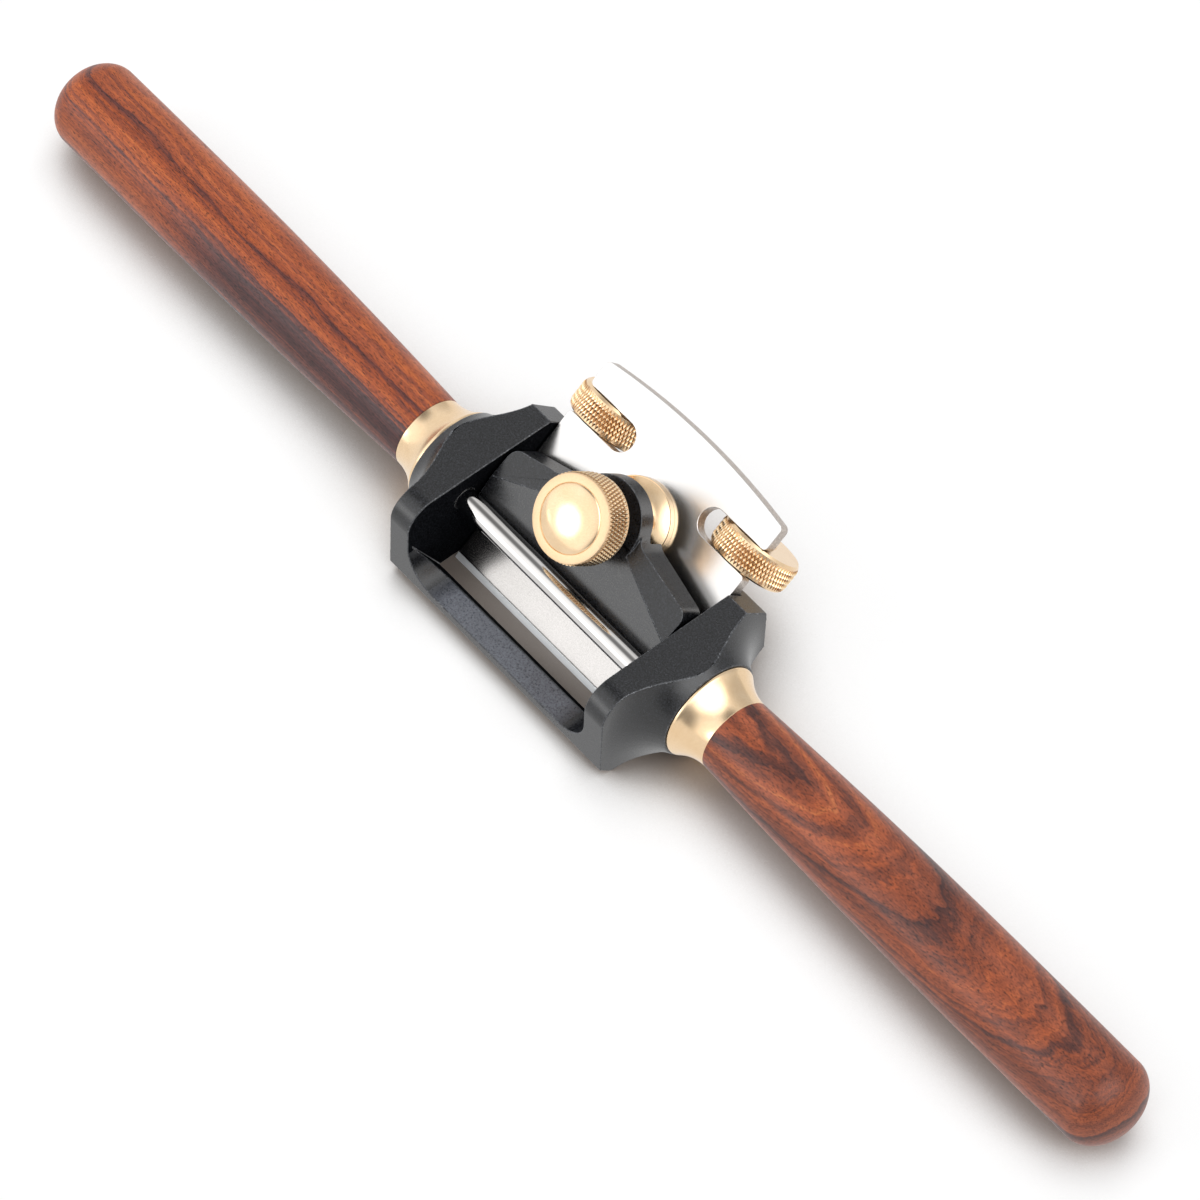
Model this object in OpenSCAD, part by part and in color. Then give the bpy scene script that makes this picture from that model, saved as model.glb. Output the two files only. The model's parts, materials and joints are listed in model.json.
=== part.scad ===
// Two-handled hand plane of the spokeshave kind: a milled aluminium frame with turned handles,
// a flat iron on an inclined bed, a lever cap under a cross pin and two depth wheels.
// Origin: on the sole, half way between the handles and straight under their common axis.
// +X runs to the right handle, +Y from the toe to the heel, +Z up. All sizes are in millimetres.

/* [Handles] */
// Overall length over both handles
overall_len = 311; // [280:1:340]
// Height of the handles' common axis above the sole
axis_h = 11.2; // [11.2:0.1:14]
// Radius of a handle where it meets its ferrule
neck_r = 8.1; // [7.5:0.1:9]
// Largest radius of a handle
belly_r = 9.7; // [9:0.1:11]
// Radius of a handle where its round end starts
end_r = 9.6; // [9:0.1:11]
// Length of the handle's round end
dome_len = 7.2; // [5:0.1:10]
// Share of the handle's length at which it is thickest
belly_at = 0.65; // [0.5:0.01:0.8]

/* [Ferrules] */
// Length of a ferrule
ferrule_len = 7.5; // [6:0.1:12]
// Radius of the ferrule's wide end
ferrule_r = 10.7; // [9.5:0.1:11]
// Length of the straight lip at the wide end
ferrule_lip = 0.6; // [0.3:0.1:1.5]
// Radius of the handle's tenon inside the ferrule
tenon_r = 6; // [5.2:0.1:6.5]
// Length of the handle's tenon inside the ferrule
tenon_len = 5; // [3:0.1:5.4]

/* [Tang rods] */
// Radius of the threaded rod that holds a handle
rod_r = 3; // [2:0.1:3.5]
// Depth of the rod in the frame's arm
rod_in_arm = 9.5; // [6:0.1:10.5]
// Length of the rod beyond the arm
rod_out = 24; // [15:0.5:40]
// Wall of the threaded insert round the rod
insert_wall = 1.8; // [1:0.1:2]
// Length of the threaded insert
insert_len = 22; // [14:0.5:40]

/* [Frame] */
// Thickness of each cheek
cheek_t = 5.3; // [4.5:0.1:8]
// Distance from the handle axis forward to the toe's front face
front_len = 21.15; // [20:0.05:26]
// Distance from the handle axis back to the heel's rear face
rear_len = 20; // [18:0.1:24]
// Height of the cheeks above the sole
cheek_h = 23; // [22.9:0.1:26]
// Radius of the cheek's upper front corner
front_round = 6; // [2:0.1:9]
// Bevel between the front face and the sole
toe_bevel = 2.9; // [1:0.1:3.5]
// Bevel at the cheek's upper rear corner
rear_bevel = 5.5; // [3:0.1:6]
// Height at which the heel's sloping underside starts on the rear face
heel_h = 6.5; // [4:0.1:8]
// Length of each arm beyond its cheek
arm_len = 6.6; // [6:0.1:9]
// Radius of the arm's outer end
arm_r = 11.1; // [10.8:0.1:11.2]
// Radius of the hollow between a cheek and its arm
flare_r = 10.5; // [10:0.1:13]

/* [Mouth] */
// Height of the toe bar above the sole
toe_h = 4.95; // [4:0.05:6.5]
// Depth of the toe bar's top face from front to back
toe_top = 5.35; // [4.5:0.05:6]
// Lean of the toe bar's rear wall, in degrees from upright
toe_lean = 30; // [20:1:34]
// Radius of the window's lower corners over the toe bar
window_r = 7.5; // [4:0.1:9]
// Slope of the bed, in degrees
bed_angle = 40; // [38:0.5:42]
// Distance from the handle axis forward to the iron's edge
edge_y = 9.8; // [9:0.1:10.5]
// Height of the iron's edge above the sole as stored
edge_z = 0.05; // [0.05:0.01:0.5]

/* [Iron] */
// Width of the iron
iron_w = 51; // [45:0.5:60]
// Length of the iron on its centre line
iron_len = 51.6; // [50:0.1:54]
// Thickness of the iron
iron_t = 3; // [2.5:0.1:3.4]
// Radius of the iron's curved back end
iron_back_r = 160; // [120:1:220]
// Radius of the iron's outer corners
iron_corner = 1.4; // [0.8:0.1:2]
// Depth of a wheel's slot beyond the wheel's rim
slot_deep = 1.65; // [1:0.05:2.5]
// Radius of the corners where a slot meets the iron's side
slot_lip = 1; // [0.5:0.1:1.5]
// Angle of the ground bevel, in degrees
bevel_angle = 30; // [25:1:35]
// Width of the honed band on the flat side
hone_w = 1.35; // [0.8:0.05:2]
// Slope of the honed band, in degrees
hone_angle = 4; // [2:0.5:8]

/* [Depth wheels] */
// Distance from the iron's side in to each wheel's axis
wheel_inset = 4.8; // [4:0.1:6]
// Distance from the edge along the iron to the middle of the wheels
wheel_u = 40.6; // [40:0.1:42]
// Depth of the wheels' axis below the iron's upper face
wheel_drop = 7.3; // [7:0.1:8]
// Radius of a wheel
wheel_r = 8.9; // [8:0.1:9.5]
// Thickness of a wheel
wheel_t = 6.2; // [4:0.1:6.6]
// Bevel of the wheel's rims
wheel_bevel = 0.8; // [0.3:0.1:1.2]
// Radius of the threaded studs
stud_r = 2.5; // [1.5:0.1:3]
// Depth of each stud inside the bed, measured from the wheel's middle
stud_in = 17.5; // [14:0.5:20]
// Length of each stud past the wheel's middle
stud_out = 6.6; // [5:0.1:8]

/* [Lever cap] */
// Distance from the edge along the iron to the screw's axis
screw_u = 30.75; // [30:0.05:32]
// Lean of the screw from square to the iron, in degrees
screw_tilt = 7.5; // [6:0.5:9]
// Radius of the cap's round head
head_r = 8.7; // [7.5:0.1:9]
// Height of the head's top face, along the screw from the iron
head_top = 11.4; // [11.2:0.1:12]
// Thickness of the head
head_t = 4.2; // [3.5:0.1:4.4]
// Height of the plate's underside, along the screw from the iron
plate_low = 3.4; // [3.4:0.1:5]
// Distance from the screw forward to the cap's shoulders
shoulder_m = 3; // [2:0.1:5]
// Distance the cap's rear edge rises to the back at the centre line
crown_m = 3.2; // [2:0.1:5]
// Radius of the cap's shoulders
shoulder_r = 2.8; // [1:0.1:3.5]
// Radius of the hollows beside the head
waist_r = 4.5; // [2:0.1:6]
// Slope of the facet on each shoulder, in degrees
facet_angle = 14; // [8:1:18]
// Distance from the screw forward to the ridge at the cap's side
ridge_side = 9.9; // [8:0.1:11]
// Distance from the screw back to the point where both ridges meet
ridge_mid = 1.5; // [0:0.1:3]
// Slope of the front face against the head's top, in degrees
front_slope = 2.5; // [1:0.5:4]
// Distance from the edge along the iron to the cap's nose
nose_u = 8.2; // [6:0.05:9]
// Height of the nose above the iron while the screw is slack
nose_gap = 0.3; // [0.2:0.05:0.5]
// Width of the nose's bearing strip
nose_w = 2; // [1.5:0.1:3]
// Distance the nose's front face leans back
nose_rake = 2.6; // [2:0.1:3.5]

/* [Cross pin] */
// Radius of the cross pin
pin_r = 2.4; // [2:0.1:2.6]
// Distance from the edge along the iron to the pin's axis
pin_u = 13; // [12:0.1:14]
// Height of the pin's axis above the iron's upper face
pin_n = 11.05; // [10.8:0.05:11.3]
// Depth of each end of the pin in its cheek
pin_in = 4; // [2.5:0.1:4.2]

/* [Clamp screw] */
// Radius of the clamp screw
screw_r = 3; // [2.5:0.1:3.2]
// Length of the screw's thread below the head
screw_under = 0.8; // [0.2:0.1:1]
// Share of the knob's height that the screw reaches into
screw_grip = 0.55; // [0.4:0.05:0.7]
// Radius of the knurled knob
knob_r = 8.9; // [8:0.1:9.5]
// Height of the knob
knob_h = 7.4; // [6:0.1:9]
// Gap between the head's top face and the knob as stored
knob_gap = 4.1; // [2.5:0.1:5]
// Radius of the domed centre of the knob
dome_r = 7; // [5.5:0.1:7.5]
// Rise of the knob's dome
dome_h = 1.2; // [0.6:0.1:2]
// Radius of the ball at the screw's lower end
ball_r = 2.1; // [1.9:0.05:2.2]
// Height of the ball's centre above the iron
ball_n = 2.6; // [2.5:0.05:3]
// Radius of the screw's neck above the ball
screw_neck_r = 1.4; // [1:0.1:1.5]

/* [Pressure foot] */
// Radius of the pressure foot
foot_r = 8.7; // [7.5:0.1:9]
// Height of the foot's straight rim
foot_rim = 1.4; // [1:0.1:2.4]
// Height of the foot
foot_h = 5.2; // [4.6:0.1:5.4]
// Radius of the foot's upper end
foot_top_r = 6.2; // [4.2:0.1:6.6]
// Clearance round the foot in the cap's pocket
foot_room = 0.6; // [0.5:0.1:1]
// Thickness of the retaining ring
clip_t = 0.6; // [0.4:0.1:0.7]
// Outer radius of the retaining ring
clip_r = 3.2; // [2.9:0.1:3.5]

/* [Fits] */
// Clearance between the iron and each cheek
iron_gap = 0.5; // [0.3:0.1:1]
// Clearance between the lever cap and each cheek
cap_gap = 0.8; // [0.3:0.1:1.5]
// Radial clearance of parts that turn or slide
run_fit = 0.05; // [0.02:0.01:0.1]
// Radial clearance of parts that stay seated
seat_fit = 0.02; // [0.01:0.01:0.05]
// Clearance of a wheel in its slot, on each side
slot_fit = 0.1; // [0.05:0.05:0.3]

/* [Hidden] */
$fn = 96;
past = 1;
far = 60;
half_throat = iron_w / 2 + iron_gap;
// How far the cutter that sweeps a shoulder into the head runs past the two curves it joins
waist_lap = 0.03;
cap_w = 2 * (half_throat - cap_gap);
wheel_x = iron_w / 2 - wheel_inset;
cheek_x = half_throat + cheek_t;
arm_x = cheek_x + arm_len;
ferrule_x = arm_x + ferrule_len;
half_len = overall_len / 2;
dome_x = half_len - dome_len;
belly_x = ferrule_x + belly_at * (half_len - ferrule_x);
insert_r = rod_r + insert_wall;
knob_low = head_top + knob_gap;
head_low = head_top - head_t;
slot_w = wheel_t + 2 * slot_fit;

// Sizes of the lever cap's side profile, along (m) and above (a) the foot of the screw
function to_screw(u, n) = [(u - screw_u) * cos(screw_tilt) + n * sin(screw_tilt),
                           n * cos(screw_tilt) - (u - screw_u) * sin(screw_tilt)];
pin_ma = to_screw(pin_u, pin_n);
touch = pin_ma - (pin_r + seat_fit) * [-sin(front_slope), cos(front_slope)];
function front_face(m) = touch[1] + (m - touch[0]) * tan(front_slope);
front_end_m = touch[0] + (head_top - touch[1]) / tan(front_slope);
nose_front = to_screw(nose_u, nose_gap);
nose_back = to_screw(nose_u + nose_w, nose_gap);
nose_top_m = nose_front[0] + nose_rake;
ridge_turn = atan2(ridge_side + ridge_mid, cap_w / 2);

// Places children with +Y up the iron's face and +Z square to it, from the iron's edge
module on_bed() {
    translate([0, -edge_y, edge_z]) rotate([bed_angle, 0, 0]) children();
}

// Places children with +Z along the clamp screw, from where its axis meets the iron
module on_screw() {
    on_bed() translate([0, screw_u, 0]) rotate([screw_tilt, 0, 0]) children();
}

// Places children with +Z along the handles' axis, pointing to the given side
module on_axis(side) {
    translate([0, 0, axis_h]) rotate([0, 90 * side, 0]) children();
}

// Extrudes a side view drawn in (Y, Z) to both sides of the centre line
module across(half) {
    rotate([90, 0, 90]) translate([0, 0, -half]) linear_extrude(2 * half) children();
}

// Square corner piece that leaves a quarter circle of the given radius when it is cut away
module corner_cut(r) {
    difference() {
        square(r + past);
        circle(r);
    }
}

module side_view() {
    heel_run = heel_h / tan(bed_angle);
    difference() {
        polygon([[-front_len, toe_bevel], [-front_len, cheek_h], [rear_len - rear_bevel, cheek_h],
                 [rear_len, cheek_h - rear_bevel], [rear_len, heel_h], [rear_len - heel_run, 0],
                 [-front_len + toe_bevel, 0]]);
        translate([-front_len + front_round, cheek_h - front_round])
            mirror([1, 0]) corner_cut(front_round);
    }
}

// Turned envelope of one half of the frame: the cheek's face, the hollow and the arm's end
module flare() {
    hollow_x = cheek_x + flare_r;
    hollow_r = arm_r + sqrt(pow(flare_r, 2) - pow(hollow_x - arm_x, 2));
    rotate_extrude() {
        square([far, cheek_x]);
        difference() {
            square([hollow_r, arm_x]);
            translate([hollow_r, hollow_x]) circle(flare_r);
        }
    }
}

// Point on the bed at a distance u from the iron's edge, in (Y, Z)
function bed_point(u) = [u * cos(bed_angle) + iron_t * sin(bed_angle) - edge_y,
                         u * sin(bed_angle) - iron_t * cos(bed_angle) + edge_z];

// Leaning line of the toe bar's rear wall: its Y at height z
function wall_y(z) = toe_top - front_len + (toe_h - z) * tan(toe_lean);

// Space between the cheeks: over the toe bar, behind its leaning wall and above the bed
module throat() {
    low = bed_point(0);
    high = bed_point(2 * far);
    across(half_throat)
        polygon([[-far, toe_h], [wall_y(toe_h), toe_h], [wall_y(low[1]), low[1]], low, high,
                 [-far, high[1]]]);
}

// Hollow corners that join the toe bar to the cheeks, in front of the leaning wall
module toe_corners() {
    top = toe_h + window_r;
    intersection() {
        across(cheek_x) polygon([[-front_len, 0], [wall_y(0), 0], [wall_y(top), top], [-front_len, top]]);
        rotate([90, 0, 0]) linear_extrude(far)
            for (side = [0, 1]) mirror([side, 0]) translate([half_throat - window_r, top])
                mirror([0, 1]) corner_cut(window_r);
    }
}

module frame() {
    color("#2f3033") difference() {
        union() {
            difference() {
                intersection() {
                    across(arm_x) side_view();
                    union() {
                        on_axis(1) flare();
                        on_axis(-1) flare();
                    }
                }
                throat();
            }
            toe_corners();
        }
        pin_shape(seat_fit);
        for (side = [-1, 1]) {
            stud_shape(side, seat_fit);
            on_axis(side) translate([0, 0, arm_x - rod_in_arm])
                cylinder(h = rod_in_arm + past, r = rod_r + seat_fit);
        }
    }
}

// Iron seen from above, with the corners of its curved back end and of the slots' mouths rounded
module iron_outline() {
    c = iron_corner;
    side_x = iron_w / 2 - c;
    back_y = iron_len - iron_back_r;
    turn = asin(side_x / (iron_back_r - c));
    corner_y = back_y + (iron_back_r - c) * cos(turn);
    lip = slot_w / 2 + slot_lip;
    difference() {
        intersection() {
            translate([-iron_w / 2, 0]) square([iron_w, iron_len]);
            translate([0, back_y]) circle(iron_back_r, $fn = 720);
        }
        for (side = [0, 1]) mirror([side, 0]) {
            polygon([[side_x, corner_y], [iron_w, corner_y], [iron_w, iron_len],
                     [side_x + 2 * c * sin(turn), corner_y + 2 * c * cos(turn)]]);
            translate([wheel_x, wheel_u]) slot_shape();
            translate([iron_w / 2 - slot_lip, wheel_u - lip]) square([iron_w, 2 * lip]);
        }
    }
    for (side = [0, 1]) mirror([side, 0]) {
        translate([side_x, corner_y]) circle(c);
        for (end = [-1, 1]) translate([iron_w / 2 - slot_lip, wheel_u + end * lip]) circle(slot_lip);
    }
}

// Slot for a wheel: round at its inner end, open at the iron's side
module slot_shape() {
    inner = wheel_r + slot_deep - slot_w / 2;
    translate([-inner, 0]) circle(slot_w / 2);
    translate([-inner, -slot_w / 2]) square([inner + far, slot_w]);
}

module blade() {
    color("#c9c7c3") on_bed() difference() {
        union() {
            translate([0, 0, -iron_t]) linear_extrude(iron_t) iron_outline();
            translate([-iron_w / 2, 0, -iron_t]) cube([iron_w, 2 * iron_corner, iron_t]);
        }
        rotate([-bevel_angle, 0, 0]) translate([-far, -far, -far]) cube([2 * far, 2 * far, far]);
        translate([0, hone_w, 0]) rotate([hone_angle, 0, 0])
            translate([-far, -far, 0]) cube([2 * far, far, far]);
    }
}

// Lever cap seen along the screw: a wide plate, its rounded shoulders, and the head they sweep into
module cap_plan() {
    half = cap_w / 2;
    slope = atan2(shoulder_m + crown_m, half);
    corner = [half - shoulder_r, crown_m - (half - shoulder_r) * tan(slope) - shoulder_r / cos(slope)];
    rise = crown_m + waist_r / cos(slope);
    reach = head_r + waist_r;
    waist_x = (rise * sin(slope) + sqrt(pow(reach, 2) - pow(rise * cos(slope), 2))) * cos(slope);
    waist = [waist_x, rise - waist_x * tan(slope)];
    outward = [sin(slope), cos(slope)];
    right = [[half, nose_front[0] - past], [half, corner[1]], corner + shoulder_r * outward,
             waist - waist_r * outward, waist, waist * head_r / reach];
    difference() {
        polygon(concat(right, [for (i = [len(right) - 1:-1:0]) [-right[i][0], right[i][1]]]));
        for (side = [-1, 1]) translate([side * waist[0], waist[1]]) circle(waist_r + waist_lap);
    }
    for (side = [-1, 1]) translate([side * corner[0], corner[1]]) circle(shoulder_r);
    circle(head_r);
}

module cap_side_view() {
    polygon([nose_front, [nose_top_m, front_face(nose_top_m)], [front_end_m, head_top],
             [far, head_top], [far, plate_low],
             [nose_back[0] + plate_low - nose_back[1], plate_low], nose_back]);
}

// Everything above the sloping facet on one shoulder, from the ridge back, clear of the head
module facet_cut() {
    ridge_drop = front_face(ridge_mid) - front_face(-ridge_side);
    difference() {
        translate([0, ridge_mid, front_face(ridge_mid)])
            rotate([0, atan(ridge_drop / (cap_w / 2)), -ridge_turn])
                rotate([-facet_angle, 0, 0]) cube([2 * far, far, far]);
        translate([0, 0, -far]) cylinder(h = 3 * far, r = head_r + seat_fit);
    }
}

module lever_cap() {
    color("#38393c") on_screw() difference() {
        intersection() {
            translate([0, 0, -far / 2]) linear_extrude(far) cap_plan();
            across(cap_w / 2 + past) cap_side_view();
        }
        for (side = [0, 1]) mirror([side, 0, 0]) facet_cut();
        translate([0, 0, -far]) cylinder(h = far + head_low, r = foot_r + foot_room);
        cylinder(h = far, r = screw_r + run_fit);
    }
}

module pin_shape(extra) {
    half = half_throat + pin_in + extra;
    on_bed() translate([-half, pin_u, pin_n]) rotate([0, 90, 0])
        cylinder(h = 2 * half, r = pin_r + extra);
}

module cap_pin() {
    color("#d9d9d6") pin_shape(0);
}

module cap_screw() {
    ball_a = ball_n / cos(screw_tilt);
    color("#b9b8b5") on_screw() {
        translate([0, 0, ball_a]) sphere(ball_r);
        translate([0, 0, ball_a]) cylinder(h = head_low - ball_a, r = screw_neck_r);
        translate([0, 0, head_low - screw_under])
            cylinder(h = knob_low + knob_h * screw_grip - head_low + screw_under, r = screw_r);
    }
}

module cap_knob() {
    edge = 0.4;
    groove = 0.3;
    dome_ball = (pow(dome_r, 2) + pow(dome_h, 2)) / (2 * dome_h);
    face = knob_h - groove;
    color("#e3bd7c") on_screw() translate([0, 0, knob_low]) difference() {
        rotate_extrude($fn = 180) {
            polygon([[0, 0], [knob_r - edge, 0], [knob_r, edge], [knob_r, knob_h - edge],
                     [knob_r - edge, knob_h], [dome_r + groove, knob_h], [dome_r, face], [0, face]]);
            intersection() {
                translate([0, face - past]) square([dome_r, past + dome_h]);
                translate([0, face + dome_h - dome_ball]) circle(dome_ball, $fn = 360);
            }
        }
        translate([0, 0, -past])
            cylinder(h = past + knob_h * screw_grip + seat_fit, r = screw_r + seat_fit);
    }
}

// Places children square to the iron under the screw's ball
module on_foot() {
    on_bed() translate([0, screw_u - ball_n * tan(screw_tilt), 0]) children();
}

module clip_ring(extra) {
    ring_low = ball_n + 1.1;
    translate([0, 0, ring_low - extra]) cylinder(h = clip_t + 2 * extra, r = clip_r + extra);
}

module pressure_foot() {
    edge = 0.4;
    socket_r = ball_r + run_fit;
    color("#e0b873") on_foot() difference() {
        rotate_extrude() polygon([[0, 0], [foot_r - edge, 0], [foot_r, edge], [foot_r, foot_rim - edge],
                                  [foot_r - edge, foot_rim],
                                  [(foot_r + foot_top_r) / 2 - edge, foot_rim + (foot_h - foot_rim) * 0.35],
                                  [foot_top_r, foot_h], [0, foot_h]]);
        translate([0, 0, ball_n]) sphere(socket_r);
        translate([0, 0, ball_n]) cylinder(h = far, r = socket_r);
        clip_ring(seat_fit);
    }
}

module foot_clip() {
    color("#8d8f92") on_foot() difference() {
        clip_ring(0);
        translate([0, 0, ball_n]) cylinder(h = far, r = ball_r - 0.2);
    }
}

module stud_shape(side, extra) {
    on_bed() translate([side * wheel_x, wheel_u - stud_in - extra, -wheel_drop]) rotate([-90, 0, 0])
        cylinder(h = stud_in + stud_out + 2 * extra, r = stud_r + extra);
}

module adjuster_stud(side) {
    color("#a9aaad") stud_shape(side, 0);
}

module adjuster_wheel(side) {
    b = wheel_bevel;
    color("#e3bd7c") on_bed() translate([side * wheel_x, wheel_u - wheel_t / 2, -wheel_drop])
        rotate([-90, 0, 0]) rotate_extrude()
            polygon([[stud_r + run_fit, 0], [wheel_r - b, 0], [wheel_r, b], [wheel_r, wheel_t - b],
                     [wheel_r - b, wheel_t], [stud_r + run_fit, wheel_t]]);
}

module ferrule(side) {
    flank = ferrule_len - ferrule_lip;
    drop = ferrule_r - neck_r;
    sweep_r = (pow(flank, 2) + pow(drop, 2)) / (2 * drop);
    color("#e6c083") on_axis(side) translate([0, 0, arm_x]) difference() {
        rotate_extrude() difference() {
            square([ferrule_r, ferrule_len]);
            translate([neck_r + sweep_r, ferrule_len]) circle(sweep_r, $fn = 180);
        }
        translate([0, 0, -past]) cylinder(h = far, r = rod_r + run_fit);
        translate([0, 0, ferrule_len - tenon_len - seat_fit]) cylinder(h = far, r = tenon_r + seat_fit);
    }
}

// Radius of the handle at a distance x from the middle of the plane
function handle_radius(x) =
    x < belly_x ? belly_r - (belly_r - neck_r) * pow((belly_x - x) / (belly_x - ferrule_x), 2)
                : belly_r - (belly_r - end_r) * pow((x - belly_x) / (dome_x - belly_x), 2);

module handle(side) {
    steps = 24;
    dome_steps = 10;
    bore_len = insert_len + seat_fit;
    tenon_x = ferrule_x - tenon_len;
    color("#8a3f22") on_axis(side) difference() {
        rotate_extrude() polygon(concat(
            [[0, tenon_x], [tenon_r, tenon_x], [tenon_r, ferrule_x]],
            [for (i = [0:steps]) let (x = ferrule_x + i / steps * (dome_x - ferrule_x)) [handle_radius(x), x]],
            [for (i = [1:dome_steps]) let (t = 90 * i / dome_steps)
                [i == dome_steps ? 0 : end_r * cos(t), dome_x + dome_len * sin(t)]]));
        translate([0, 0, tenon_x - past]) cylinder(h = past + bore_len, r = insert_r + seat_fit);
    }
}

module handle_insert(side) {
    color("#d9ae66") on_axis(side) translate([0, 0, ferrule_x - tenon_len]) difference() {
        cylinder(h = insert_len, r = insert_r);
        translate([0, 0, -past]) cylinder(h = far, r = rod_r + seat_fit);
    }
}

module tang_rod(side) {
    color("#a9aaad") on_axis(side) translate([0, 0, arm_x - rod_in_arm])
        cylinder(h = rod_in_arm + rod_out, r = rod_r);
}

frame();
blade();
lever_cap();
cap_pin();
cap_screw();
cap_knob();
pressure_foot();
foot_clip();
adjuster_stud(-1);  // adjuster_stud_left
adjuster_stud(1);  // adjuster_stud_right
adjuster_wheel(-1);  // adjuster_wheel_left
adjuster_wheel(1);  // adjuster_wheel_right
ferrule(-1);  // ferrule_left
ferrule(1);  // ferrule_right
handle(-1);  // handle_left
handle(1);  // handle_right
tang_rod(-1);  // tang_rod_left
tang_rod(1);  // tang_rod_right
handle_insert(-1);  // handle_insert_left
handle_insert(1);  // handle_insert_right
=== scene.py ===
import json
import math

import bmesh
import bpy
from bpy.props import FloatProperty, FloatVectorProperty, IntProperty, PointerProperty
from mathutils import Matrix, Vector
from mathutils.bvhtree import BVHTree


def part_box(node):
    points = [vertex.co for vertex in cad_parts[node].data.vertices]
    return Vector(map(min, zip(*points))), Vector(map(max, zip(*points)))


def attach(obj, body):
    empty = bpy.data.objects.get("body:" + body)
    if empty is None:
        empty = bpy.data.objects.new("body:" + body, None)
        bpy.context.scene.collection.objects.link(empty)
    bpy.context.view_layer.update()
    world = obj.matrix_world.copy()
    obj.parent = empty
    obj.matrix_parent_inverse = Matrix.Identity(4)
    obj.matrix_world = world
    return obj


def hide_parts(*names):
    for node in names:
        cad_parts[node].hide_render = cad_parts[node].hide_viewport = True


bl_info = {
    "name": "Spokeshave builder",
    "version": (1, 0, 0),
    "blender": (4, 5, 0),
    "location": "View3D > Sidebar > Spokeshave",
    "description": "Dresses a spokeshave's solids with turned, milled, knurled and wooden pieces",
    "category": "Object",
}

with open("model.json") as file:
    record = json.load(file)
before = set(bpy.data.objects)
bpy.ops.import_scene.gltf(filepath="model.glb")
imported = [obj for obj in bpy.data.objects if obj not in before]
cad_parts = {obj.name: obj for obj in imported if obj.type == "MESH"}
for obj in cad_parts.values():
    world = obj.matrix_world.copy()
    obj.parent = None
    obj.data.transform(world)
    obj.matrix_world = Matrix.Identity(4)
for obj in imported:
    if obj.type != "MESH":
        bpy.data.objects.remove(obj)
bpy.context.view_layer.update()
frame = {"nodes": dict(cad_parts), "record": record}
JOINTS = {j["name"]: j for j in frame["record"]["behaviour"]["joints"]}
MM = 0.001
EDGE_UP_IRON = -7.475      # mm up the iron from the origin to the cutting edge
HONED = 1.5                # mm of the iron that the stone has matted behind the edge
SCREW_LEAN = 7.5           # degrees between the clamp screw and the iron's normal
BALL_UP_FOOT = 2.6 * MM    # from the foot's face to the centre of the clamp screw's ball
TENON = 5.0 * MM           # length of the handle's tenon inside its ferrule
ROOT_LAP = 0.02 * MM       # how far a knurl's points reach below the metal they stand on
SIDES = ("left", "right")


# ---------------------------------------------------------------- colours and nodes

def linear(hex_colour):
    """Linear colour, with alpha, of an sRGB hex value."""
    parts = [int(hex_colour[i:i + 2], 16) / 255 for i in (1, 3, 5)]
    return tuple(c / 12.92 if c <= 0.04045 else ((c + 0.055) / 1.055) ** 2.4 for c in parts) + (1.0,)


def feed(tree, node, inputs):
    """Gives a node its inputs: a socket is linked, and anything else is set as the input's value."""
    for key, value in inputs.items():
        if isinstance(value, bpy.types.NodeSocket):
            tree.links.new(value, node.inputs[key])
        else:
            node.inputs[key].default_value = value


def add(tree, kind, settings=None, inputs=None):
    """A node of that kind, with its settings and its inputs."""
    node = tree.nodes.new(kind)
    for key, value in (settings or {}).items():
        setattr(node, key, value)
    feed(tree, node, inputs or {})
    return node


def ramp(tree, factor, *stops):
    """Colour ramp through stops, each a place and an sRGB hex value."""
    node = add(tree, "ShaderNodeValToRGB", inputs={"Fac": factor})
    band = node.color_ramp
    while len(band.elements) < len(stops):
        band.elements.new(1.0)
    for element, (place, colour) in zip(band.elements, stops):
        element.position = place
        element.color = linear(colour)
    return node.outputs["Color"]


def new_material(name):
    """An empty material with its output and a principled shader."""
    material = bpy.data.materials.new(name)
    material.use_nodes = True
    tree = material.node_tree
    tree.nodes.clear()
    shader = add(tree, "ShaderNodeBsdfPrincipled")
    add(tree, "ShaderNodeOutputMaterial", inputs={"Surface": shader.outputs["BSDF"]})
    return material, tree, shader


def in_mm(tree, scale=(1, 1, 1), turn=(0, 0, 0), shift=(0, 0, 0)):
    """Object coordinates in millimetres, turned and then stretched."""
    place = add(tree, "ShaderNodeTexCoord").outputs["Object"]
    placed = add(tree, "ShaderNodeMapping", inputs={
        "Vector": place, "Rotation": turn, "Scale": (1000, 1000, 1000), "Location": shift})
    return add(tree, "ShaderNodeMapping", inputs={"Vector": placed.outputs[0], "Scale": scale}).outputs[0]


def noise(tree, vector, scale, detail=2.0, roughness=0.5):
    """Value of a noise pattern, scale in features for each unit of the vector."""
    return add(tree, "ShaderNodeTexNoise", inputs={
        "Vector": vector, "Scale": scale, "Detail": detail, "Roughness": roughness}).outputs["Fac"]


def maths(tree, operation, a, b=0.0, clamp=False):
    """Result of one sum."""
    return add(tree, "ShaderNodeMath", {"operation": operation, "use_clamp": clamp},
               {0: a, 1: b}).outputs[0]


def blend_colours(tree, factor, first, second, how="MIX"):
    """Two colours mixed by a factor."""
    node = add(tree, "ShaderNodeMix", {"data_type": "RGBA", "blend_type": how},
               {"Factor": factor, 6: first, 7: second})
    return node.outputs[2]


def spread(tree, value, low, high, to_low=0.0, to_high=1.0):
    """Value moved from one range to another and held inside it."""
    return add(tree, "ShaderNodeMapRange", {"clamp": True}, {
        "Value": value, "From Min": low, "From Max": high, "To Min": to_low, "To Max": to_high}).outputs[0]


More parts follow.
